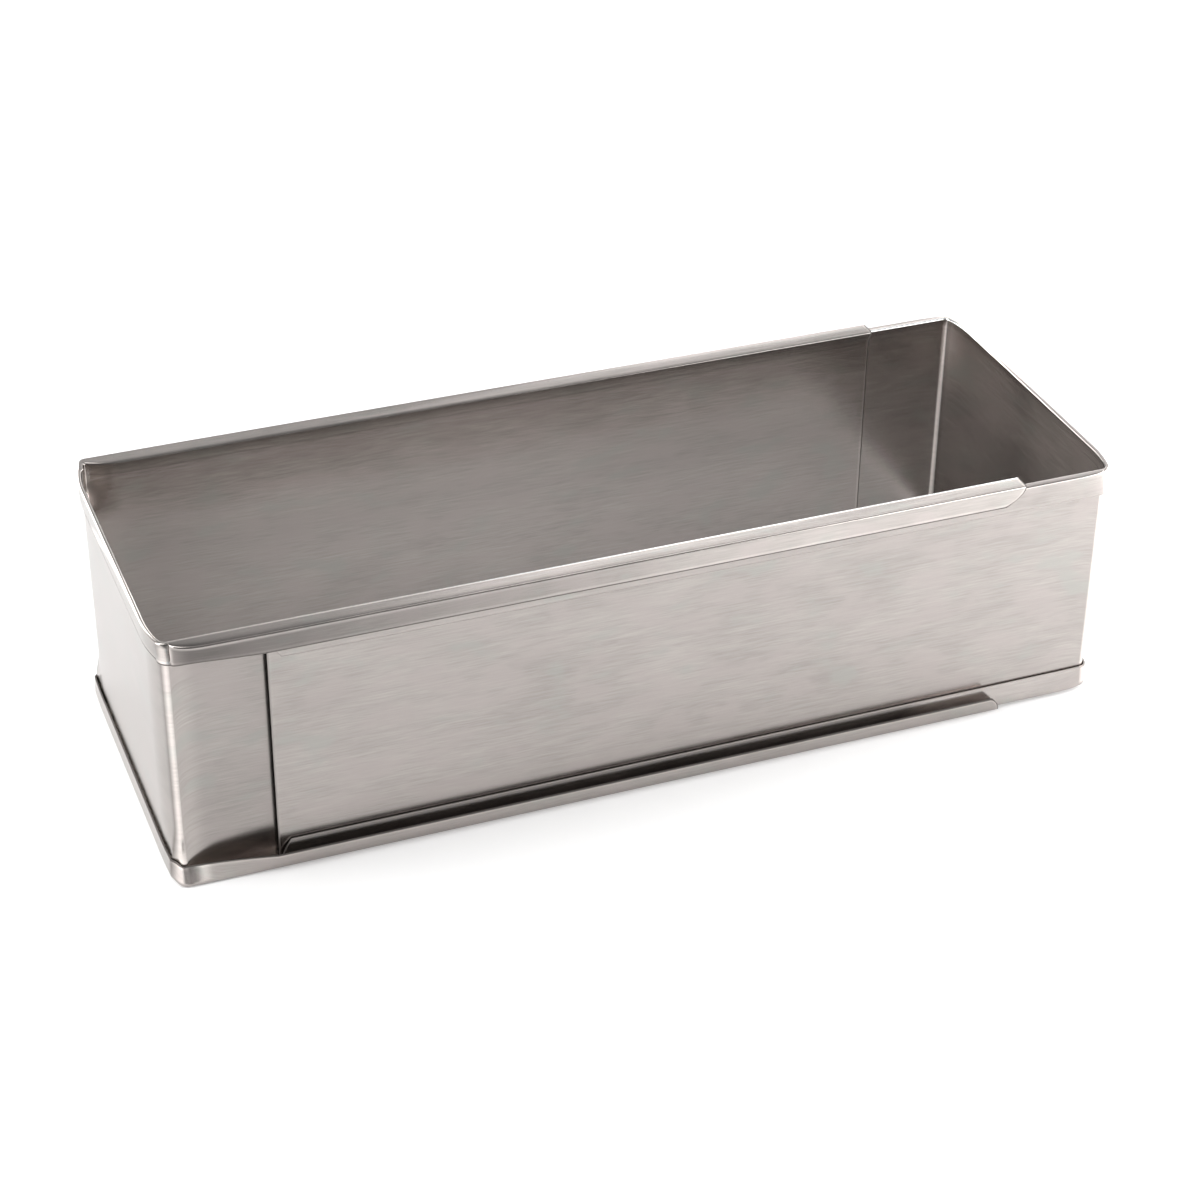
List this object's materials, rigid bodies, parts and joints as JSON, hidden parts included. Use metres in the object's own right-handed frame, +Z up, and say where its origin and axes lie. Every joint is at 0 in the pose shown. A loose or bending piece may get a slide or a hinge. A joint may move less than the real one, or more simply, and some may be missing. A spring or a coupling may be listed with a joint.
{
  "type": "extendable sheet frame",
  "caption": "Rectangular bottomless frame of two folded steel U halves; one slides in the other's hemmed rails to lengthen it.",
  "frame": {"origin": "on the resting plane, below the middle of the closed frame's bounding box", "axes": "+X along the slide towards the sliding half's end, +Y to the back, +Z up"},
  "size_m": [0.332, 0.1302, 0.09],
  "materials": {
    "rail_half": "fine lengthwise brushed stainless sheet",
    "sliding_half": "fine lengthwise brushed stainless sheet"
  },
  "bodies": {
    "rail": {"rail_half": "rail_half"},
    "slider": {"sliding_half": "sliding_half"}
  },
  "joints": [
    {"name": "extend", "type": "slide", "parent": "rail", "child": "slider", "axis": [1, 0, 0], "range_m": [0, 0.22]}
  ]
}
